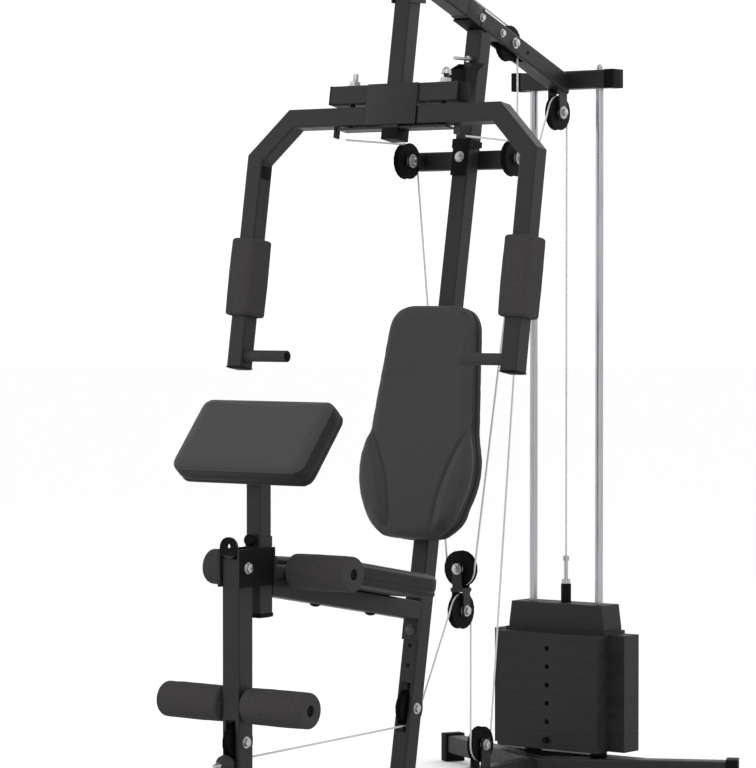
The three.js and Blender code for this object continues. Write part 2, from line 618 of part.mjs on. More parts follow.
function addButterflyArm(frame, side, hand) {
  const path = [[ARM_INNER_X, ARM_LEVEL], [ARM_BEND_X, ARM_LEVEL], [ARM_OUTER_X, ARM_ELBOW],
    [ARM_OUTER_X, ARM_END]].map(([x, z]) => at(side * x, 0, z));
  const boltHole = rod(at(side * ARM_PIVOT_X, 0, ARM_LEVEL - 40), at(side * ARM_PIVOT_X, 0, ARM_LEVEL + 40),
    6 + GAP, 12);
  const lug = block([side * 176 - 2.5, -6, ARM_LEVEL - HALF - 24],
    [side * 176 + 2.5, 12, ARM_LEVEL - HALF + 1]);
  add(`butterfly_arm_${hand}`, join(cut(squareTube(path, at(0, 1, 0)), boltHole), lug), paint(), frame);

  const sleeveSection = squareOutline(37, 13, 3);
  sleeveSection.holes.push(squareOutline(HALF + GAP, CORNER, 2, THREE.Path));
  const sleeve = sweep([at(side * ARM_OUTER_X, 0, SLEEVE_Z[0]), at(side * ARM_OUTER_X, 0, SLEEVE_Z[1])],
    sleeveSection, ACROSS);
  add(`arm_sleeve_${hand}`, sleeve, foam(), frame);

  const face = ARM_OUTER_X - HALF - GAP;
  const gripPath = (x) => at(side * x, 0, GRIP_Z);
  const grip = join(rod(gripPath(face), gripPath(face - 6), 17),
    rod(gripPath(face), gripPath(face - 120), 14));
  add(`hand_grip_${hand}`, grip, rubber(), frame);
}

// ---- pulleys and their floating forks -----------------------------------------------------
function pulley() {
  const rim = 8;
  return turned([[AXLE_RADIUS + GAP, -PULLEY_HALF], [PULLEY_RADIUS, -rim], [GROOVE_RADIUS, -2.6],
    [GROOVE_RADIUS, 2.6], [PULLEY_RADIUS, rim], [AXLE_RADIUS + GAP, PULLEY_HALF]], 18);
}

function addPulleys() {
  const onCentre = {
    front_pulley: FRONT_PULLEY,
    boom_pulley: BOOM_PULLEY,
    rear_pulley: REAR_PULLEY,
    high_float_pulley: HIGH_FLOAT,
    base_pulley: BASE_PULLEY,
    low_float_pulley: LOW_FLOAT,
    upright_pulley: UPRIGHT_PULLEY,
    lever_pulley: LEVER_PULLEY,
  };
  for (const [name, [y, z]] of Object.entries(onCentre)) {
    add(name, pulley(), blackPlastic()).position.set(0, y, z);
  }
  for (const [side, hand] of [[1, 'left'], [-1, 'right']]) {
    add(`arm_pulley_${hand}`, pulley(), blackPlastic()).position.set(side * ARM_PULLEY_X, ...ARM_PULLEY);
  }
  const cross = add('cross_float_pulley', pulley(), blackPlastic());
  cross.position.set(0, ...CROSS_FLOAT);
  cross.rotation.z = Math.PI / 2;
}

function addForks() {
  const [highY, highZ] = HIGH_FLOAT;
  const highBottom = highZ - PULLEY_RADIUS - 12;
  const outside = SLOT_HALF + CHEEK;
  add('high_float_fork', join(
    ...pulleyFork(highY, highBottom, highZ + 13, 26),
    block([-outside, highY - 13, highBottom], [outside, highY + 13, highBottom + 8]),
    axle(...HIGH_FLOAT, SLOT_HALF + 2),
  ), paint());

  const [lowY, lowZ] = LOW_FLOAT;
  const [crossY, crossZ] = CROSS_FLOAT;
  const bridge = [lowZ + PULLEY_RADIUS + 2, crossZ - PULLEY_RADIUS - 2];
  const crossCheeks = [-1, 1].map((side) => {
    const ys = [crossY + side * SLOT_HALF, crossY + side * outside].sort((a, b) => a - b);
    return block([-13, ys[0], bridge[0]], [13, ys[1], crossZ + 13]);
  });
  add('double_float_fork', join(
    ...pulleyFork(lowY, lowZ - 13, bridge[1], 26),
    axle(...LOW_FLOAT, SLOT_HALF + 2),
    block([-outside, crossY - outside, bridge[0]], [outside, crossY + outside, bridge[1]]),
    ...crossCheeks,
    rod(at(0, crossY - SLOT_HALF - 2, crossZ), at(0, crossY + SLOT_HALF + 2, crossZ), AXLE_RADIUS, 12),
  ), paint());
}

// ---- cables -------------------------------------------------------------------------------
// A taut line in a y, z plane round circles. A stop is [y, z, turn]: turn is +1 or -1 for a
// pulley passed with its centre on the left or right, and 0 for an end of the line.
function tautLine(stops) {
  const radius = (stop) => stop[2] * CABLE_LINE;
  const contacts = stops.map(() => []);
  for (let i = 0; i + 1 < stops.length; i += 1) {
    const [from, to] = [stops[i], stops[i + 1]];
    const gap = new THREE.Vector2(to[0] - from[0], to[1] - from[1]);
    const cosine = (radius(from) - radius(to)) / gap.length();
    const ahead = gap.normalize();
    const right = new THREE.Vector2(ahead.y, -ahead.x);
    const normal = ahead.clone().multiplyScalar(cosine)
      .addScaledVector(right, Math.sqrt(1 - cosine * cosine));
    contacts[i].push(normal);
    contacts[i + 1].push(normal);
  }
  const line = [];
  stops.forEach((stop, i) => {
    if (stop[2] === 0) {
      line.push([stop[0], stop[1]]);
      return;
    }
    const [arrive, leave] = contacts[i].map((normal) => normal.clone().multiplyScalar(stop[2]).angle());
    line.push(...arc(stop, arrive, leave));
  });
  return line;
}

function arc([y, z, turn], from, to) {
  const full = 2 * Math.PI;
  const sweepAngle = turn * (((turn * (to - from)) % full + full) % full);
  const steps = Math.max(1, Math.ceil(Math.abs(sweepAngle) / THREE.MathUtils.degToRad(15)));
  const points = [];
  for (let k = 0; k <= steps; k += 1) {
    const angle = from + sweepAngle * k / steps;
    points.push([y + CABLE_LINE * Math.cos(angle), z + CABLE_LINE * Math.sin(angle)]);
  }
  return points;
}

const inPlane = (line, x = 0) => line.map(([y, z]) => at(x, y, z));

function addCables() {
  const upper = tautLine([
    [0, REAR_PULLEY[1] - 2, 0], [...REAR_PULLEY, 1], [...HIGH_FLOAT, -1], [...BOOM_PULLEY, 1],
    [...FRONT_PULLEY, 1], [FRONT_PULLEY[0] - CABLE_LINE, FRONT_PULLEY[1] - 2, 0],
  ]);
  add('upper_cable', cableAlong(inPlane(upper)), cableGrey());

  const stemTop = plateLow(0) + 15 + 72 + 116;
  add('stack_cable', cableAlong([at(0, 0, stemTop + GAP), at(0, 0, REAR_PULLEY[1] - 2 - GAP)]), cableGrey());

  const latY = FRONT_PULLEY[0] - CABLE_LINE;
  const latLine = [at(0, latY, LAT_BAR_Z + 22 + GAP), at(0, latY, FRONT_PULLEY[1] - 2 - GAP)];
  add('lat_cable', cableAlong(latLine), cableGrey());

  const lower = tautLine([
    [HIGH_FLOAT[0], HIGH_FLOAT[1] - PULLEY_RADIUS - 12 - GAP, 0], [...BASE_PULLEY, -1],
    [...LOW_FLOAT, 1], [...UPRIGHT_PULLEY, -1], [...LEVER_PULLEY, -1], [LEVER_Y - 44, 183, 0],
  ]);
  const meets = lower.findIndex(([y]) => y < LEVER_Y + 5);
  add('lower_cable', cableAlong(inPlane(lower.slice(0, meets + 1))), cableGrey());
  const tail = lower.slice(meets);
  tail[0] = [tail[0][0] - GAP, tail[0][1]];
  const ball = new THREE.SphereGeometry(21, 16, 10).translate(0, LEVER_Y - 44.5, 176);
  add('lever_cable_end', join(cableAlong(inPlane(tail)), ball), rubber());

  const half = tautLine([[-668, 1579, 0], [...ARM_PULLEY, -1],
    [ARM_PULLEY[0] + CABLE_LINE, ARM_PULLEY[1] - 4, 0]]);
  const leadX = (i) => (i === 0 ? 176 : ARM_PULLEY_X);
  const down = half.map(([y, z], i) => at(leadX(i), y, z));
  const under = arc([0, CROSS_FLOAT[1], -1], 0, -Math.PI).map(([x, z]) => at(x, CROSS_FLOAT[0], z));
  const up = down.map((point) => at(-point.x, point.y, point.z)).reverse();
  add('butterfly_cable', cableAlong([...down, ...under, ...up], at(0, 1, 0.35).normalize()), cableGrey());
}

// ---- lat bar ------------------------------------------------------------------------------
function addLatBar() {
  const y = FRONT_PULLEY[0] - CABLE_LINE;
  const path = [[-500, -48], [-350, -3], [-320, 0], [320, 0], [350, -3], [500, -48]]
    .map(([x, z]) => at(x, y, LAT_BAR_Z + z));
  const bar = sweep(path, circleSection(12.5, 12), at(0, 1, 0));
  const eye = block([-4, y - 12, LAT_BAR_Z], [4, y + 12, LAT_BAR_Z + 22]);
  add('lat_bar', join(bar, eye), chrome());
}

addBase();
addUpright();
addBoom();
addArmPulleyBar();
addHangerPin();
addWeightStack();
addSeatTube();
addSeatPad();
addBackPad();
addReceiver();
addCurlPad();
addRollers();
addLever();
addPressArm();
addPulleys();
addForks();
addCables();
addLatBar();

gym.position.y = -new THREE.Box3().setFromObject(gym, true).getCenter(at(0, 0, 0)).y;

export default gym;
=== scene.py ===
"""Finishes the multi station home gym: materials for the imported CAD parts, upholstered pads, foam
rollers and sleeves, end caps, bolts and small fittings, a plain studio and the camera.

Metres. Positions are written in the machine's own layout, which has y = 0 in the plane of the
guide rods; spot() moves them into the frame the CAD parts are packed in.
"""
import math

import bmesh
import bpy
from mathutils import Matrix, Vector, noise


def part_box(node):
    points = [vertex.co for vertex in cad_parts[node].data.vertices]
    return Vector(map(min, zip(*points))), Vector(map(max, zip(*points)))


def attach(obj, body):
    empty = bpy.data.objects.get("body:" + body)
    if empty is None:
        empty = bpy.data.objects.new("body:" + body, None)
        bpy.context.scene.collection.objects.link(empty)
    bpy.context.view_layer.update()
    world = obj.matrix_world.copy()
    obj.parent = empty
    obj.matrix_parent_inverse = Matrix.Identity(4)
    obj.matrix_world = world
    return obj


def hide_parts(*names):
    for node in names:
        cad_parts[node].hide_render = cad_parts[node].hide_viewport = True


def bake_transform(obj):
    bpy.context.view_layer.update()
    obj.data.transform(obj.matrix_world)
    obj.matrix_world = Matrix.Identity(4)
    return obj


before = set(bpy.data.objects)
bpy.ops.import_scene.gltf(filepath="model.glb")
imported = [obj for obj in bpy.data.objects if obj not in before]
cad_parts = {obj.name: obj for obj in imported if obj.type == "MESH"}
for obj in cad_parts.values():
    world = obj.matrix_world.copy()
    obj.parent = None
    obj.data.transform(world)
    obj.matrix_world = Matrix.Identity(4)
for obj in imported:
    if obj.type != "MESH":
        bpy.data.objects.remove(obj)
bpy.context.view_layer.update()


def middle(node):
    low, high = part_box(node)
    return [(a + b) / 2 for a, b in zip(low, high)]


ROD_PLANE_Y = middle("guide_rod_left")[1]

# Machine dimensions, as in the CAD
TUBE_HALF = 0.0225
LEVER_HALF = 0.0245
LEVER_Y = -1.284
LEVER_PLATE = 0.0305
FORK_HALF = 0.018
CABLE_RADIUS = 0.0024
UPRIGHT_LEAN = math.radians(9.93)
UPRIGHT_FOOT = (-0.683, 0.0675)
BOOM_SLOPE = math.radians(21.07)
BOOM_REAR = (-0.0228, 1.735)
PRESS_LEAN = math.radians(9.1)
PRESS_PIVOT = (-0.655, 1.919)
PRESS_BAR = -0.243
ARM_X = 0.4
ARM_END = -0.891
ARM_ELBOW = -0.39
GRIP_END = (0.2572, -0.864)     # x, height in the press arm's frame
SLEEVE = (-0.769, -0.583)
SEAT_ANGLE = math.radians(9.67)
CURL_TIP = math.radians(50)
CURL_THICKNESS = 0.062
SEAT_MIDDLE_Y = -0.896
SEAT_THICKNESS = 0.052
BACK_THICKNESS = 0.053
BACK_FOOT_Z = 0.636
SEAT_LINE = (-0.703, 0.479)     # y, z of a point on the seat tube's centre line
CURL_FACE = (-1.237, 0.903)     # y, z of the middle of the curl pad's face
ROD_X = 0.099
FRONT_FOOT_HALF = 0.29
FRONT_FOOT_Y = -1.385
ARM_PULLEY = (0.158, -0.452, 1.535)
REAR_PULLEY = (-0.04, 1.664)
HEX_ACROSS = 0.013
HEX_HEIGHT = 0.006
AXLE_HEX = (0.017, 0.0075)      # across and height of the heads on the axles and pivots
SHARP_ANGLE = math.radians(35)


def spot(x, y, z):
    """A point of the machine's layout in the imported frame."""
    return Vector((x, y + ROD_PLANE_Y, z))


def leaning(y, z, angle):
    """A matrix with its origin on the centre plane at y, z, tipped back by angle."""
    return Matrix.Translation(spot(0, y, z)) @ Matrix.Rotation(-angle, 4, "X")


UPRIGHT = leaning(*UPRIGHT_FOOT, UPRIGHT_LEAN)
BOOM = leaning(*BOOM_REAR, BOOM_SLOPE)
PRESS = leaning(*PRESS_PIVOT, PRESS_LEAN)
SEAT = leaning(*SEAT_LINE, SEAT_ANGLE)


# ---- materials ----------------------------------------------------------------------------
def node_tree(name):
    material = bpy.data.materials.new(name)
    material.use_nodes = True
    tree = material.node_tree
    shader = tree.nodes["Principled BSDF"]
    place = tree.nodes.new("ShaderNodeTexCoord").outputs["Object"]
    return material, tree, shader, place


def noise_node(tree, place, scale, detail=3.0):
    node = tree.nodes.new("ShaderNodeTexNoise")
    node.inputs["Scale"].default_value = scale
    node.inputs["Detail"].default_value = detail
    tree.links.new(place, node.inputs["Vector"])
    return node.outputs["Fac"]


def ramp(tree, value, low, high, start=0.3, end=0.7):
    """Maps a 0 to 1 value to a number or colour between low and high."""
    node = tree.nodes.new("ShaderNodeValToRGB")
    for element, stop, position in zip(node.color_ramp.elements, (low, high), (start, end)):
        element.position = position
        element.color = (*stop, 1) if isinstance(stop, tuple) else (stop, stop, stop, 1)
    tree.links.new(value, node.inputs["Fac"])
    return node.outputs["Color"]


def bump(tree, shader, height, distance, strength=1.0):
    node = tree.nodes.new("ShaderNodeBump")
    node.inputs["Distance"].default_value = distance
    node.inputs["Strength"].default_value = strength
    tree.links.new(height, node.inputs["Height"])
    tree.links.new(node.outputs["Normal"], shader.inputs["Normal"])


def surface(name, dark, light, rough, metallic=0.0, gloss=0.3, grain=60, bump_scale=900, depth=0.0,
            coat=0.0):
    """A material whose colour and roughness wander a little, over a fine bump."""
    material, tree, shader, place = node_tree(name)
    patches = noise_node(tree, place, grain)
    tree.links.new(ramp(tree, patches, dark, light), shader.inputs["Base Color"])
    tree.links.new(ramp(tree, patches, rough[0], rough[1]), shader.inputs["Roughness"])
    shader.inputs["Metallic"].default_value = metallic
    shader.inputs["Specular IOR Level"].default_value = gloss
    shader.inputs["Coat Weight"].default_value = coat
    shader.inputs["Coat Roughness"].default_value = 0.25
    if depth:
        bump(tree, shader, noise_node(tree, place, bump_scale), depth)
    return material


def vinyl_material(name, dark, light, gloss):
    """Upholstery vinyl: small leather cells under soft creases."""
    material, tree, shader, place = node_tree(name)
    patches = noise_node(tree, place, 14, 5)
    tree.links.new(ramp(tree, patches, dark, light), shader.inputs["Base Color"])
    tree.links.new(ramp(tree, patches, 0.5, 0.62), shader.inputs["Roughness"])
    cells = tree.nodes.new("ShaderNodeTexVoronoi")
    cells.inputs["Scale"].default_value = 620
    tree.links.new(place, cells.inputs["Vector"])
    bump(tree, shader, cells.outputs["Distance"], 0.0006, 0.55)
    shader.inputs["Specular IOR Level"].default_value = gloss
    shader.inputs["Sheen Weight"].default_value = 0.05
    return material


def brushed_material(name, dark, light, rough, stretch):
    """Metal with fine marks drawn out along one direction."""
    material, tree, shader, place = node_tree(name)
    mapping = tree.nodes.new("ShaderNodeMapping")
    mapping.inputs["Scale"].default_value = stretch
    tree.links.new(place, mapping.inputs["Vector"])
    marks = noise_node(tree, mapping.outputs["Vector"], 240, 2)
    tree.links.new(ramp(tree, marks, dark, light), shader.inputs["Base Color"])
    tree.links.new(ramp(tree, marks, rough[0], rough[1]), shader.inputs["Roughness"])
    shader.inputs["Metallic"].default_value = 1.0
    return material


PAINT = surface("satin_paint", (0.0088, 0.0088, 0.0091), (0.0125, 0.0125, 0.0128), (0.42, 0.52),
                gloss=0.21, grain=35, bump_scale=1400, depth=0.00012, coat=0.04)
CHROME = brushed_material("chrome", (0.35, 0.34, 0.36), (0.43, 0.42, 0.445), (0.28, 0.38),
                          (1, 1, 0.05))
STEEL = brushed_material("bolt_steel", (0.34, 0.34, 0.34), (0.48, 0.48, 0.48), (0.3, 0.42),
                         (1, 1, 1))
# Black plastic for caps, shoes and fittings. The same black also paints the shade at the arms' elbows and
# the shadow on the upright.
BLACK = surface("black_plastic_and_painted_shadow", (0.0012, 0.0012, 0.0013), (0.0022, 0.0022, 0.0024), (0.5, 0.62),
                gloss=0.08, grain=90, bump_scale=1600, depth=0.0001)
HUB = surface("hub_zinc", (0.22, 0.22, 0.22), (0.32, 0.32, 0.32), (0.4, 0.5), metallic=0.6)
DULL = surface("dull_steel", (0.05, 0.05, 0.05), (0.09, 0.09, 0.09), (0.5, 0.6), metallic=0.4)
FOAM = surface("foam", (0.029, 0.027, 0.0275), (0.046, 0.0425, 0.0435), (0.8, 0.95), gloss=0.12,
               grain=260, bump_scale=1100, depth=0.0009)
VINYL = vinyl_material("vinyl", (0.021, 0.0198, 0.0202), (0.0275, 0.026, 0.0263), 0.28)
# Painted shade: a darker, less glossy copy of the same vinyl for the pads' sides, standing in for the
# shade on faces turned from the light.
VINYL_PAINTED_SHADE = vinyl_material("vinyl_painted_side_shade", (0.0065, 0.0061, 0.0062), (0.009, 0.0084, 0.0086), 0.12)
PLATE = surface("cast_plate", (0.0105, 0.0105, 0.0107), (0.0155, 0.0155, 0.0158), (0.5, 0.66),
                gloss=0.22, grain=50, bump_scale=700, depth=0.0004)
ROPE = surface("cable_sleeve", (0.42, 0.42, 0.41), (0.58, 0.58, 0.57), (0.4, 0.55), grain=300)
RUBBER = surface("rubber", (0.024, 0.022, 0.0225), (0.034, 0.031, 0.032), (0.65, 0.8), gloss=0.15,
                 grain=120, bump_scale=900, depth=0.0003)


def finish_for(node):
    if "pulley" in node and node != "arm_pulley_bar" or node == "selector_pin":
        return BLACK
    if node == "hanger_pin":
        return STEEL
    if node.startswith("guide_rod") or node in ("selector_stem", "shin_roller_axle", "lat_bar"):
        return CHROME
    if "roller_" in node or "sleeve" in node or "grip" in node:
        return FOAM
    if node.endswith("_pad"):
        return VINYL
    if node.startswith("weight_plate") or node == "stack_top_plate":
        return PLATE
    if node == "lever_cable_end":
        return RUBBER
    if node.endswith("_cable"):
        return ROPE
    return PAINT


for node_name, node_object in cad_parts.items():
    node_object.data.materials.clear()
    node_object.data.materials.append(finish_for(node_name))


# ---- mesh helpers -------------------------------------------------------------------------
def piece(name, bm, material, body, smooth=True):
    """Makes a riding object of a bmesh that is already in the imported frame."""
    bmesh.ops.recalc_face_normals(bm, faces=bm.faces)
    mesh = bpy.data.meshes.new(name)
    bm.to_mesh(mesh)
    bm.free()
    obj = bpy.data.objects.new(name, mesh)
    bpy.context.scene.collection.objects.link(obj)
    mesh.materials.append(material)
    for polygon in mesh.polygons:
        polygon.use_smooth = smooth
    if smooth:
        mesh.set_sharp_from_angle(angle=SHARP_ANGLE)
    if body:
        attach(obj, body)
    return obj


def add_box(bm, size, matrix, bevel):
    """Adds a box with softened edges to bm."""
    before = set(bm.verts)
    cube = bmesh.ops.create_cube(bm, size=1)["verts"]
    bmesh.ops.scale(bm, vec=size, verts=cube)
    edges = list({edge for vert in cube for edge in vert.link_edges})
    bmesh.ops.bevel(bm, geom=edges, offset=bevel, segments=2, profile=0.6, affect="EDGES")
    added = [vert for vert in bm.verts if vert not in before]
    bmesh.ops.transform(bm, matrix=matrix, verts=added)


def add_turned(bm, profile, matrix, sides=24):
    """Adds a solid turned about the matrix's z axis. The profile's points are radius, height."""
    rings = []
    for radius, height in profile:
        if radius == 0:
            rings.append([bm.verts.new(matrix @ Vector((0, 0, height)))])
            continue
        turns = [2 * math.pi * i / sides for i in range(sides)]
        points = [Vector((radius * math.cos(a), radius * math.sin(a), height)) for a in turns]
        rings.append([bm.verts.new(matrix @ point) for point in points])
    for low, high in zip(rings, rings[1:]):
        for i in range(sides):
            j = (i + 1) % sides
            corners = [low[i % len(low)], low[j % len(low)], high[j % len(high)], high[i % len(high)]]
            bm.faces.new(list(dict.fromkeys(corners)))


def facing(point, direction):
    """A matrix at point whose z axis is direction."""
    turn = Vector(direction).to_track_quat("Z", "Y").to_matrix().to_4x4()
    return Matrix.Translation(point) @ turn


def add_bolt(bm, matrix, across=HEX_ACROSS, height=HEX_HEIGHT):
    """A washer and a chamfered hex head standing out along the matrix's z axis."""
    washer = across * 0.78
    corner = across * 0.577
    chamfer = across * 0.47
    seat = 0.0016
    top = height + 0.0009
    add_turned(bm, [(0, 0), (washer, 0), (washer, 0.0012), (washer - 0.0004, seat), (0, seat)], matrix)
    add_turned(bm, [(0, seat), (corner, seat), (corner, height), (chamfer, top), (0, top)], matrix,
               sides=6)


def add_dome_nut(bm, matrix, radius=0.011):
    profile = [(0, 0), (radius * 1.15, 0), (radius * 1.15, 0.0016), (radius, 0.002), (radius, 0.009)]
    for step in range(1, 6):
        angle = step * math.pi / 10
        profile.append((radius * 0.85 * math.cos(angle), 0.009 + radius * 0.8 * math.sin(angle)))
    profile[-1] = (0, profile[-1][1])
    add_turned(bm, profile, matrix)


def add_carriage_head(bm, matrix, radius=0.0125, height=0.0065):
    """A wide low dome standing out along the matrix's z axis."""
    profile = [(0, 0)]
    for step in range(6):
        angle = step * math.pi / 10
        profile.append((radius * math.cos(angle), height * math.sin(angle)))
    profile[-1] = (0, height)
    add_turned(bm, profile, matrix)


def add_tube_cap(bm, matrix, half=TUBE_HALF):
    """A square end cap whose face bulges a little, pushed on along the matrix's z axis."""
    size = 2 * half + 0.0006
    add_box(bm, (size, size, 0.004), matrix @ Matrix.Translation((0, 0, 0.0022)), 0.0014)
    inner = size * 0.8
    add_box(bm, (inner, inner, 0.0022), matrix @ Matrix.Translation((0, 0, 0.0045)), 0.0009)


# ---- end caps, bolts and small fittings ---------------------------------------------------
def frame_caps():
    bm = bmesh.new()
    bar_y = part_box("arm_pulley_bar")[1][1] - TUBE_HALF - ROD_PLANE_Y
    for side in (-1, 1):
        place = Matrix.Translation(spot(side * 0.1395, 0, 1.7455))
        add_box(bm, (0.028, 0.0466, 0.0466), place, 0.0016)
        add_tube_cap(bm, facing(spot(side * 0.176, bar_y, ARM_PULLEY[2]), (side, 0, 0)))
    add_tube_cap(bm, facing(spot(0, -1.21, 0.498), (0, 0, -1)))
    piece("frame_end_caps", bm, BLACK, "frame")


def foot_shoes():
    """Moulded shoes over the ends of the base tubes, standing on the floor."""
    bm = bmesh.new()
    leg_end_x, leg_end_y = 0.437, 0.108
    splay = math.atan2(0.235, leg_end_x)
    length, width, height = 0.031, 0.0545, 0.0728
    places = []
    for side in (-1, 1):
        reach = length / 2 - 0.0024
        end = spot(side * (leg_end_x - reach * math.cos(splay)), leg_end_y - reach * math.sin(splay),
                   height / 2)
        places.append(Matrix.Translation(end) @ Matrix.Rotation(side * splay, 4, "Z"))
        places.append(Matrix.Translation(spot(side * (FRONT_FOOT_HALF - reach), FRONT_FOOT_Y, height / 2)))
    for place in places:
        add_box(bm, (length, width, height), place, 0.003)
    piece("foot_shoes", bm, BLACK, "frame")


def press_caps():
    bm = bmesh.new()
    for side in (-1, 1):
        add_tube_cap(bm, PRESS @ facing(Vector((side * 0.185, 0, PRESS_BAR)), (side, 0, 0)))
    piece("press_end_caps", bm, BLACK, "press_arm_body")


def press_plate():
    """The flat plate over the middle of the press bar and the stub tube under it."""
    bm = bmesh.new()
    low, high = -0.295 - TUBE_HALF, PRESS_BAR + TUBE_HALF
    place = PRESS @ Matrix.Translation((0, -TUBE_HALF - 0.0018, (low + high) / 2))
    add_box(bm, (0.148, 0.003, high - low), place, 0.0006)
    piece("press_plate", bm, PAINT, "press_arm_body")
    bm = bmesh.new()
    size = 2 * TUBE_HALF + 0.0014
    add_box(bm, (size, size, 0.028), PRESS @ Matrix.Translation((0, 0, -0.3385)), 0.0014)
    piece("press_tube_end", bm, BLACK, "press_arm_body")


def arm_fittings_and_elbow_shade(side, hand):
    bm = bmesh.new()
    add_tube_cap(bm, PRESS @ facing(Vector((side * ARM_X, 0, ARM_END)), (0, 0, -1)))
    # Painted shade: the thin black plate on the arm's inner face just below the elbow stands in for the
    # shade there. It is not a real part.
    inner_face = side * (ARM_X - TUBE_HALF - 0.0004)
    elbow_painted_shade = PRESS @ Matrix.Translation((inner_face, 0, ARM_ELBOW - 0.031))
    add_box(bm, (0.0016, 0.036, 0.031), elbow_painted_shade, 0.0007)
    piece(f"arm_end_cap_and_elbow_shade_{hand}", bm, BLACK, f"{hand}_arm")
    bm = bmesh.new()
    grip = PRESS @ facing(Vector((side * GRIP_END[0], 0, GRIP_END[1])), (-side, 0, 0))
    add_turned(bm, [(0, 0), (0.0105, 0), (0.0105, 0.0012), (0.0085, 0.002), (0, 0.002)], grip)
    piece(f"grip_plug_{hand}", bm, BLACK, f"{hand}_arm")


def pivot_nuts():
    bm = bmesh.new()
    top = PRESS_BAR + TUBE_HALF
    pivot_x = 0.133
    add_dome_nut(bm, PRESS @ Matrix.Translation((pivot_x, 0, top + 0.022)), 0.0105)
    for side in (1, -1):
        add_bolt(bm, PRESS @ Matrix.Translation((side * pivot_x, 0, top)), 0.024, 0.012)
    add_turned(bm, [(0.0061, 0.01), (0.0066, 0.012), (0.0066, 0.0305), (0.005, 0.032), (0, 0.0322)],
               PRESS @ Matrix.Translation((-pivot_x, 0, top)))
    piece("arm_pivot_nuts", bm, STEEL, "press_arm_body")


# Bolt heads on both sides of the frame: half width, y, z
FRAME_AXLES = [
    (FORK_HALF, -0.366, 0.123), (TUBE_HALF, -0.653, 0.238), (TUBE_HALF, -0.253, 1.8237),
    (TUBE_HALF, -0.862, 2.058), (FORK_HALF, *REAR_PULLEY), (FORK_HALF, -0.173, 1.564),
    (FORK_HALF, -0.446, 0.453), (0.0285, -0.655, 1.919), (LEVER_PLATE, LEVER_Y, 0.608),
]


def frame_bolts():
    bm = bmesh.new()
    for side in (-1, 1):
        for half, y, z in FRAME_AXLES:
            add_bolt(bm, facing(spot(side * half, y, z), (side, 0, 0)), *AXLE_HEX)
        for along in (0.305, 0.395):
            add_bolt(bm, BOOM @ facing(Vector((side * TUBE_HALF, -along, 0)), (side, 0, 0)))
        add_bolt(bm, facing(spot(0, -0.446 + side * FORK_HALF, 0.554), (0, side, 0)), *AXLE_HEX)
        for outward in (-1, 1):
            x = side * ARM_PULLEY[0] + outward * FORK_HALF
            add_bolt(bm, facing(spot(x, *ARM_PULLEY[1:]), (outward, 0, 0)), *AXLE_HEX)
        add_dome_nut(bm, facing(spot(side * ROD_X, 0, 1.768), (0, 0, 1)), 0.0075)
    piece("frame_bolts", bm, STEEL, "frame")
    bm = bmesh.new()
    front = Vector((0, -TUBE_HALF - 0.0053, up_upright(0.4185)))
    add_bolt(bm, UPRIGHT @ facing(front, (0, -1, 0)), 0.017, 0.007)
    piece("upright_foot_bolt", bm, DULL, "frame")


PLUG = [(0, 0), (0.0055, 0), (0.005, 0.0004), (0, 0.0004)]


def dark_fasteners():
    """Black carriage bolts under the seat tube, and the plugged holes down the tubes' faces."""
    bm = bmesh.new()
    for y in (-0.8, -1.005):
        under = Vector((0, (y - SEAT_LINE[0]) / math.cos(SEAT_ANGLE), -TUBE_HALF))
        add_carriage_head(bm, SEAT @ facing(under, (0, 0, -1)))
    for z in (0.381, 0.335):
        hole = Vector((0, -TUBE_HALF, up_upright(z)))
        add_turned(bm, PLUG, UPRIGHT @ facing(hole, (0, -1, 0)))
    for side in (-1, 1):
        hole = BOOM @ facing(Vector((side * TUBE_HALF, -0.19, 0)), (side, 0, 0))
        add_turned(bm, PLUG, hole)
    piece("dark_fasteners", bm, BLACK, "frame")


def spacer_rings():
    """Zinc rings between the pulley forks and their bolt heads."""
    bm = bmesh.new()
    profile = [(0.0075, 0), (0.0165, 0), (0.0165, 0.0006), (0.015, 0.0012), (0.0075, 0.0012)]
    for outward in (-1, 1):
        for side in (-1, 1):
            x = side * ARM_PULLEY[0] + outward * FORK_HALF
            add_turned(bm, profile, facing(spot(x, *ARM_PULLEY[1:]), (outward, 0, 0)))
        add_turned(bm, profile, facing(spot(outward * FORK_HALF, *REAR_PULLEY), (outward, 0, 0)))
    piece("spacer_rings", bm, HUB, "frame")


def lever_bolts():
    bm = bmesh.new()
    for side in (-1, 1):
        add_bolt(bm, facing(spot(side * LEVER_HALF, LEVER_Y, 0.222), (side, 0, 0)), *AXLE_HEX)
    stud = facing(spot(0, LEVER_Y - 0.0655, 0.176), (0, -1, 0))
    profile = [(0, -0.004), (0.007, -0.004), (0.007, 0.004), (0.0045, 0.010), (0.0045, 0.016), (0, 0.017)]
    add_turned(bm, profile, stud)
    piece("lever_bolts", bm, STEEL, "lever")


def up_upright(z):
    """The distance along the upright of a height above the floor."""
    return (z - UPRIGHT_FOOT[1]) / math.cos(UPRIGHT_LEAN)


def add_plate(bm, points, thickness, matrix):
    """A flat plate whose outline is given in the matrix's y and z, centred on its x."""
    near = [bm.verts.new(matrix @ Vector((-thickness / 2, y, z))) for y, z in points]
    far = [bm.verts.new(matrix @ Vector((thickness / 2, y, z))) for y, z in points]
    bm.faces.new(near)
    bm.faces.new(far[::-1])
    for i in range(len(points)):
        j = (i + 1) % len(points)
        bm.faces.new([near[i], near[j], far[j], far[i]])


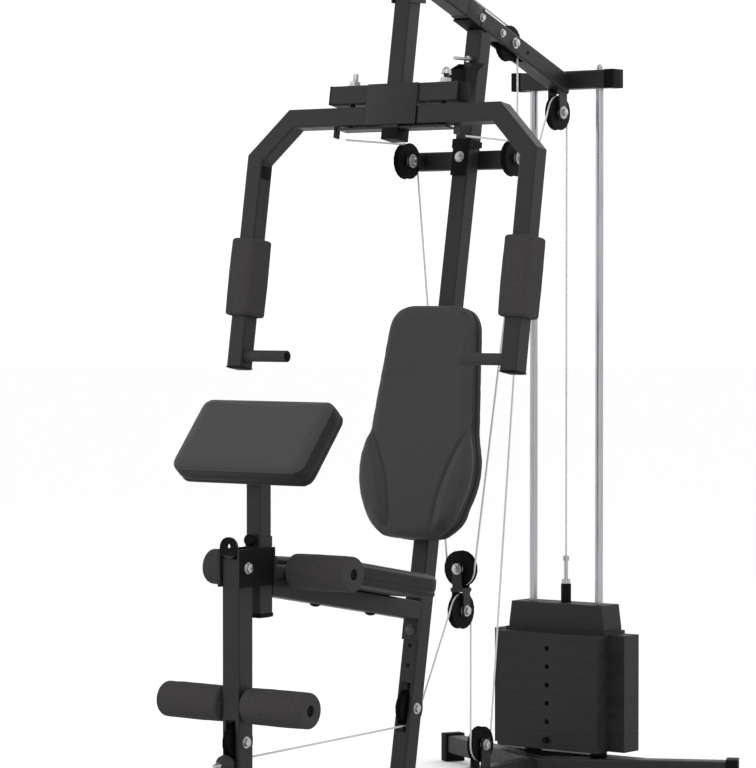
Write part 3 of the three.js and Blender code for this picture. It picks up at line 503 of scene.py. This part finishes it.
def upright_fittings_and_painted_shadow():
    """The pulley bar's plate on the upright's front face, and above it a black slanted hook shape that is
    painted shadow on the upright.
    """
    bm = bmesh.new()
    face = -TUBE_HALF
    plate_at = up_upright(1.5375)
    place = UPRIGHT @ Matrix.Translation((0, face - 0.0028, plate_at))
    add_box(bm, (0.0455, 0.005, 0.089), place, 0.001)
    cheek = [(face - 0.005, 0.044), (TUBE_HALF, 0.044), (TUBE_HALF, 0.030), (face + 0.012, 0.022),
             (face - 0.005, 0.022)]
    # Painted shadow: the slanted hook outline is a black shape where shadow falls on the upright, not a
    # bracket.
    painted_hook_shadow = [(face - 0.046, -0.033), (face - 0.040, -0.033), (face - 0.034, 0.006), (face + 0.004, 0.022),
            (face + 0.022, 0.040), (face - 0.012, 0.034), (face - 0.046, 0.012)]
    for side in (-1, 1):
        for outline_yz, height in ((cheek, plate_at), (painted_hook_shadow, up_upright(1.727))):
            beside = Matrix.Translation((side * (TUBE_HALF + 0.0023), 0, height))
            add_plate(bm, outline_yz, 0.003, UPRIGHT @ beside)
    # Painted shadow: the black strip across the front that closes the hook shape.
    place = UPRIGHT @ Matrix.Translation((0, face - 0.0475, up_upright(1.7165)))
    add_box(bm, (0.0526, 0.003, 0.045), place, 0.0008)
    piece("upright_brackets_and_painted_shadow", bm, BLACK, "frame")
    bm = bmesh.new()
    centre = Vector((0, face - 0.0053, plate_at))
    add_bolt(bm, UPRIGHT @ facing(centre, (0, -1, 0)), 0.017, 0.006)
    piece("upright_bracket_bolt", bm, STEEL, "frame")


def boom_fittings():
    """The sleeve where the boom's two lengths meet, and the pad it rests on over the upright."""
    bm = bmesh.new()
    size = 2 * TUBE_HALF + 0.0012
    add_box(bm, (size, 0.062, size), BOOM @ Matrix.Translation((0, -0.425, 0)), 0.001)
    piece("boom_sleeve", bm, PAINT, "frame")
    bm = bmesh.new()
    rest_pad = BOOM @ Matrix.Translation((0, -0.405, -TUBE_HALF - 0.0028))
    add_box(bm, (0.052, 0.074, 0.004), rest_pad, 0.001)
    joint_y, rim, strip = -0.394, 0.0224, 0.003
    for side in (-1, 1):
        beside = BOOM @ Matrix.Translation((side * rim, joint_y, 0))
        add_box(bm, (strip, strip, size + 0.001), beside, 0.0005)
    above = BOOM @ Matrix.Translation((0, joint_y, rim))
    add_box(bm, (size + 0.001, strip, strip), above, 0.0005)
    piece("boom_joint", bm, BLACK, "frame")


def add_holed_plate(bm, rim, hole, thickness, matrix):
    """A plate with a hole. Its outlines are given in the matrix's x and z, and its face looks along y."""
    loops = []
    for points in (rim, hole):
        for y in (-thickness / 2, thickness / 2):
            loops.append([bm.verts.new(matrix @ Vector((x, y, z))) for x, z in points])
    for near, far in (loops[:2], loops[2:]):
        for i in range(len(near)):
            j = (i + 1) % len(near)
            bm.faces.new([near[i], near[j], far[j], far[i]])
    for outer, inner in ((loops[0], loops[2]), (loops[1], loops[3])):
        ends = [bm.edges.get((ring[i], ring[(i + 1) % len(ring)])) for ring in (outer, inner)
                for i in range(len(ring))]
        bmesh.ops.triangle_fill(bm, use_beauty=True, use_dissolve=False, edges=ends)


def stem_sleeve():
    bm = bmesh.new()
    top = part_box("stack_top_plate")[1][2]
    place = Matrix.Translation(spot(0, 0, top))
    add_turned(bm, [(0.0112, 0), (0.0128, 0), (0.0128, 0.045), (0.0118, 0.047), (0.0112, 0.047)], place)
    piece("stem_sleeve", bm, BLACK, "weight_stack")


def receiver_fittings():
    bm = bmesh.new()
    knob = facing(spot(0, -1.2325, 0.6665), (0, -1, 0))
    add_turned(bm, [(0, 0), (0.007, 0), (0.007, 0.003), (0.012, 0.004), (0.0135, 0.007), (0.0135, 0.013),
                    (0.011, 0.0165), (0, 0.017)], knob)
    add_box(bm, (0.0465, 0.0465, 0.006), Matrix.Translation(spot(0, -1.21, 0.5)), 0.001)
    for side in (-1, 1):
        outline_yz = [(-0.063, -0.042), (0.058, -0.042), (0.058, 0.042), (-0.063, 0.042)]
        place = Matrix.Translation(spot(side * (LEVER_PLATE + 0.0004), -1.252, 0.608))
        add_plate(bm, outline_yz, 0.0012, place)
    lug = Matrix.Translation(spot(0, -1.3156, 0.653))
    reach = 0.0245
    bore = 0.006
    arch = [(-reach, -0.0165), (reach, -0.0165)]
    arch += [(reach * math.cos(a), reach * math.sin(a)) for a in (math.pi * i / 12 for i in range(13))]
    turns = [math.pi * i / 8 for i in range(16)]
    hole = [(bore * math.cos(a), 0.004 + bore * math.sin(a)) for a in turns]
    add_holed_plate(bm, arch, hole, 0.0012, lug)
    piece("receiver_plates", bm, BLACK, "frame")
    bm = bmesh.new()
    for side in (-1, 1):
        at = facing(spot(side * ROD_X, 0, 0.0678), (0, 0, 1))
        add_turned(bm, [(0.0102, 0), (0.021, 0), (0.021, 0.0115), (0.0195, 0.0138), (0.0102, 0.0138)], at)
    piece("stack_bumpers", bm, RUBBER, "frame")


WHEELS = {
    "front_pulley": "x", "boom_pulley": "x", "rear_pulley": "x", "high_float_pulley": "x",
    "base_pulley": "x", "low_float_pulley": "x", "upright_pulley": "x", "lever_pulley": "x",
    "arm_pulley_left": "x", "arm_pulley_right": "x", "cross_float_pulley": "y",
}


def pulley_hubs():
    """A pressed bearing ring on both faces of every pulley."""
    for name, axis in WHEELS.items():
        bm = bmesh.new()
        centre = Vector(middle(name))
        for side in (-1, 1):
            direction = Vector((side, 0, 0)) if axis == "x" else Vector((0, side, 0))
            at = facing(centre + direction * 0.0097, direction)
            add_turned(bm, [(0.0062, 0), (0.0135, 0), (0.0135, 0.0012), (0.0115, 0.0022), (0.0085, 0.0022),
                            (0.0078, 0.0012), (0.0062, 0.0012)], at)
        piece(f"{name}_hub", bm, HUB, f"{name}_wheel")


def paid_out_cables():
    """The two straight cables that shorten or lengthen over a pulley, each drawn as a plain round strand.
    """
    for node, body in (("stack_cable", "weight_stack"), ("lat_cable", "lat_bar_body")):
        low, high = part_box(node)
        x, y, _ = middle(node)
        bottom, top = Vector((x, y, low[2])), Vector((x, y, high[2]))
        length = high[2] - low[2]
        bm = bmesh.new()
        profile = [(0, 0), (CABLE_RADIUS, 0), (CABLE_RADIUS, length), (0, length)]
        add_turned(bm, profile, Matrix.Translation(bottom), sides=12)
        cable = piece(f"{node}_paid_out", bm, ROPE, None)
        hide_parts(node)
        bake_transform(cable)


# ---- foam rollers and sleeves -------------------------------------------------------------
def outline(half, corner, steps=10):
    """A rounded square, or a circle where corner equals half."""
    points = []
    inner = half - corner
    for quarter, (sx, sy) in enumerate(((1, 1), (-1, 1), (-1, -1), (1, -1))):
        for i in range(steps + 1):
            angle = (quarter + i / steps) * math.pi / 2
            points.append((sx * inner + corner * math.cos(angle), sy * inner + corner * math.sin(angle)))
    return points


def foam_tube(name, node, body, place, length, half, corner, bore):
    """A foam tube along the matrix's z axis with soft ends, round a bore outline."""
    profile = []
    soft = 0.007
    for step in range(7):
        angle = step * math.pi / 12
        profile.append((soft * (1 - math.sin(angle)), soft * (1 - math.cos(angle))))
    for step in range(1, 24):
        crown = 0.0009 * math.sin(math.pi * step / 24)
        profile.append((-crown, soft + (length - 2 * soft) * step / 24))
    profile += [(inset, length - height) for inset, height in profile[6::-1]]
    bm = bmesh.new()
    rings = []
    for height in (0.004, 0.0):
        rings.append([place @ Vector((x, y, height)) for x, y in bore])
    for inset, height in profile:
        softened = corner - min(inset, corner * 0.6) * 0.5
        shape = outline(half - inset, softened if corner < half else half - inset)
        rings.append([place @ Vector((x, y, height)) for x, y in shape])
    for height in (length, length - 0.004):
        rings.append([place @ Vector((x, y, height)) for x, y in bore])
    for ring in rings[2:-2]:
        centre = sum(ring, Vector()) / len(ring)
        for i, point in enumerate(ring):
            ring[i] = point + (point - centre).normalized() * 0.0005 * noise.noise(point * 45)
    verts = [[bm.verts.new(point) for point in ring] for ring in rings]
    count = len(bore)
    for low, high in zip(verts, verts[1:] + verts[:1]):
        for i in range(count):
            bm.faces.new([low[i], low[(i + 1) % count], high[(i + 1) % count], high[i]])
    obj = piece(name, bm, FOAM, body)
    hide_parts(node)


def foam_pieces():
    radius = 0.04
    circle = outline(0.0131, 0.0131)
    plug_profile = [(0, 0), (0.0128, 0), (0.0128, 0.003), (0.011, 0.0042), (0, 0.0042)]
    plugs = {"frame": bmesh.new(), "lever": bmesh.new()}
    rollers = (
        ("thigh", "frame", -1.127, 0.592, 0.037, 0.205),
        ("shin", "lever", LEVER_Y, 0.304, 0.034, 0.207),
    )
    for side, hand in ((1, "left"), (-1, "right")):
        for kind, body, y, z, inner, outer in rollers:
            at = facing(spot(side * inner, y, z), (side, 0, 0))
            foam_tube(f"{kind}_foam_{hand}", f"{kind}_roller_{hand}", body, at, outer - inner,
                      radius, radius, circle)
            plug = facing(spot(side * (outer - 0.0079), y, z), (side, 0, 0))
            add_turned(plugs[body], plug_profile, plug)
        low, high = SLEEVE
        at = PRESS @ Matrix.Translation((side * ARM_X, 0, low))
        foam_tube(f"arm_foam_{hand}", f"arm_sleeve_{hand}", f"{hand}_arm", at, high - low, 0.037, 0.014,
                  outline(0.0229, 0.0045))
    for body, bm in plugs.items():
        piece(f"{body}_roller_plugs", bm, BLACK, body)


# ---- upholstery ---------------------------------------------------------------------------
def swollen(name, node, shrink, pressure, limit, pinned):
    """A cloth copy of a CAD pad, blown up from a slightly smaller shape and held where pinned."""
    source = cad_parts[node]
    obj = source.copy()
    obj.data = source.data.copy()
    obj.name = name
    obj.parent = None
    obj.matrix_world = Matrix.Identity(4)
    obj.modifiers.clear()
    bpy.context.scene.collection.objects.link(obj)
    centre = sum((vert.co for vert in obj.data.vertices), Vector()) / len(obj.data.vertices)
    for vert in obj.data.vertices:
        vert.co = centre + (vert.co - centre) * shrink
    apply_modifier(obj, "REMESH", mode="VOXEL", voxel_size=0.0055)
    rest = [vert.co.copy() for vert in obj.data.vertices]
    moved = inflate(obj, rest, pressure, pinned)
    normals = [vert.normal.copy() for vert in obj.data.vertices]
    for vert, start, end, normal in zip(obj.data.vertices, rest, moved, normals):
        rise = (end - start).dot(normal)
        vert.co = start + normal * min(max(rise, 0.0), limit)
    apply_modifier(obj, "SMOOTH", factor=0.5, iterations=6)
    return obj


def apply_modifier(obj, kind, **settings):
    modifier = obj.modifiers.new("step", kind)
    for key, value in settings.items():
        setattr(modifier, key, value)
    graph = bpy.context.evaluated_depsgraph_get()
    mesh = bpy.data.meshes.new_from_object(obj.evaluated_get(graph))
    obj.modifiers.clear()
    obj.data = mesh


def inflate(obj, rest, pressure, pinned):
    """Where each point is after the cloth has swollen under pressure."""
    group = obj.vertex_groups.new(name="pinned")
    group.add([i for i, point in enumerate(rest) if pinned(point)], 1.0, "REPLACE")
    modifier = obj.modifiers.new("Cloth", "CLOTH")
    settings = modifier.settings
    settings.vertex_group_mass = "pinned"
    settings.use_pressure = True
    settings.uniform_pressure_force = pressure
    settings.effector_weights.gravity = 0
    settings.tension_stiffness = 18
    settings.compression_stiffness = 18
    settings.bending_stiffness = 4
    settings.quality = 5
    scene = bpy.context.scene
    scene.frame_start, scene.frame_end = 1, 20
    for number in range(1, 21):
        scene.frame_set(number)
    graph = bpy.context.evaluated_depsgraph_get()
    moved = [vert.co.copy() for vert in obj.evaluated_get(graph).data.vertices]
    obj.modifiers.clear()
    obj.vertex_groups.clear()
    scene.frame_set(1)
    return moved


def smoothstep(low, high, value):
    t = min(max((value - low) / (high - low), 0.0), 1.0)
    return t * t * (3 - 2 * t)


def groove(distance, width, depth):
    return -depth * math.exp(-(distance / width) ** 2)


def upholster(obj, place, shape, out, face_depth, node, body):
    """Moves each point out by shape(u, v, w, normal), in the pad's own directions, then dresses it.

    What lies nearer the board than face_depth, measured along out, takes the darker vinyl, painted shade
    for the sides turned from the light.
    """
    apply_modifier(obj, "SUBSURF", levels=1, render_levels=1)
    inverse = place.inverted()
    turn = inverse.to_3x3()
    normals = [vert.normal.copy() for vert in obj.data.vertices]
    for vert, normal in zip(obj.data.vertices, normals):
        u, v, w = inverse @ vert.co
        vert.co += normal * shape(u, v, w, turn @ normal)
    obj.data.materials.clear()
    obj.data.materials.append(VINYL)
    obj.data.materials.append(VINYL_PAINTED_SHADE)
    # Painted shade: polygons on the pad's sides get the darker copy of the vinyl.
    for polygon in obj.data.polygons:
        polygon.use_smooth = True
        polygon.material_index = 0 if out.dot(inverse @ polygon.center) > face_depth else 1
    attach(obj, body)
    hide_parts(node)


def back_pad():
    """Two bolsters beside the small of the back, curved seams, and a seam round the rim."""
    place = UPRIGHT @ Matrix.Translation((0, -TUBE_HALF - 0.0013, up_upright(BACK_FOOT_Z)))

    def near_board(point):
        return (place.inverted() @ point).y > -0.006

    def shape(u, v, w, normal):
        depth = -v
        seam = 0.063 + 1.25 * w * w
        side = abs(u) - seam
        front = smoothstep(0.2, 0.8, -normal.y)
        fade = smoothstep(0.0, 0.04, w) * (1 - smoothstep(0.225, 0.265, w))
        bolster = 0.006 * smoothstep(0.0, 0.03, side) * fade
        crease = groove(side, 0.0038, 0.005) * fade
        rim = groove(depth - 0.030, 0.003, 0.0028) * (1 - front)
        corner = 0.009 * smoothstep(0.04, 0.085, abs(u)) * (1 - smoothstep(0.03, 0.075, w)) * (1 - front)
        return front * (bolster + crease) + rim + corner

    obj = swollen("back_pad_cover", "back_pad", 0.985, 3.0, 0.003, near_board)
    upholster(obj, place, shape, Vector((0, -1, 0)), BACK_THICKNESS - 0.011, "back_pad", "frame")
    bm = bmesh.new()
    for w, half in ((0.10, 0.11), (0.44, 0.10)):
        add_box(bm, (2 * half, 0.003, 0.05), place @ Matrix.Translation((0, 0.0002, w)), 0.001)
    piece("back_pad_plates", bm, BLACK, "frame")


def flat_pad(name, node, body, place, thickness):
    """A pad on a board: crowned face and a seam low round its sides."""

    def near_board(point):
        return (place.inverted() @ point).z < 0.006

    def shape(u, v, w, normal):
        sides = 1 - smoothstep(0.3, 0.8, abs(normal.z))
        return groove(w - thickness * 0.3, 0.003, 0.0026) * sides

    obj = swollen(name, node, 0.987, 3.0, 0.003, near_board)
    upholster(obj, place, shape, Vector((0, 0, 1)), thickness - 0.009, node, body)


def all_pads():
    back_pad()
    tube_middle_z = SEAT_LINE[1] + (SEAT_LINE[0] - SEAT_MIDDLE_Y) * math.tan(SEAT_ANGLE)
    seat_z = tube_middle_z + TUBE_HALF / math.cos(SEAT_ANGLE) + 0.001
    seat_place = leaning(SEAT_MIDDLE_Y, seat_z, SEAT_ANGLE)
    flat_pad("seat_pad_cover", "seat_pad", "frame", seat_place, SEAT_THICKNESS)
    out = Vector((0, -math.sin(CURL_TIP), math.cos(CURL_TIP)))
    back = spot(0, *CURL_FACE) - out * CURL_THICKNESS
    flat_pad("curl_pad_cover", "curl_pad", "curl_rest",
             Matrix.Translation(back) @ Matrix.Rotation(CURL_TIP, 4, "X"), CURL_THICKNESS)


# ---- studio and camera --------------------------------------------------------------------
def studio():
    bm = bmesh.new()
    bmesh.ops.create_grid(bm, x_segments=1, y_segments=1, size=45)
    bmesh.ops.translate(bm, vec=(0, 0, -0.001), verts=bm.verts)
    white = surface("floor", (0.90, 0.90, 0.90), (0.92, 0.92, 0.92), (0.7, 0.8))
    floor = piece("studio_floor", bm, white, None, smooth=False)
    world = bpy.data.worlds.new("studio")
    world.use_nodes = True
    background = world.node_tree.nodes["Background"]
    background.inputs["Color"].default_value = (1, 1, 1, 1)
    background.inputs["Strength"].default_value = 1.08
    bpy.context.scene.world = world
    add_light("key", (2.6, -4.2, 4.4), 3.0, 70)
    add_light("fill", (-3.6, -2.4, 2.6), 3.2, 25)
    add_light("back", (1.2, 3.8, 3.2), 3.0, 30)


def add_light(name, position, size, watts):
    light = bpy.data.lights.new(name, "AREA")
    light.size = size
    light.energy = watts
    obj = bpy.data.objects.new(name, light)
    obj.location = position
    obj.rotation_euler = (Vector((0, 0, 1)) - Vector(position)).to_track_quat("-Z", "Y").to_euler()
    bpy.context.scene.collection.objects.link(obj)


def photo_camera():
    camera = bpy.data.cameras.new("camera")
    camera.sensor_width = 36
    camera.lens = 164.7
    camera.clip_end = 60
    obj = bpy.data.objects.new("camera", camera)
    azimuth = math.radians(37.5)
    pitch = math.radians(1.45)
    forward = Vector((-math.sin(azimuth), math.cos(azimuth), -math.tan(pitch)))
    obj.location = spot(4.972, -7.253, 1.211)
    obj.rotation_euler = forward.to_track_quat("-Z", "Y").to_euler()
    bpy.context.scene.collection.objects.link(obj)
    bpy.context.scene.camera = obj
    bpy.context.scene.view_settings.view_transform = "Standard"


frame_caps()
foot_shoes()
press_caps()
press_plate()
arm_fittings_and_elbow_shade(1, "left")
arm_fittings_and_elbow_shade(-1, "right")
pivot_nuts()
frame_bolts()
dark_fasteners()
spacer_rings()
lever_bolts()
upright_fittings_and_painted_shadow()
boom_fittings()
stem_sleeve()
receiver_fittings()
pulley_hubs()
paid_out_cables()
foam_pieces()
all_pads()
studio()
photo_camera()
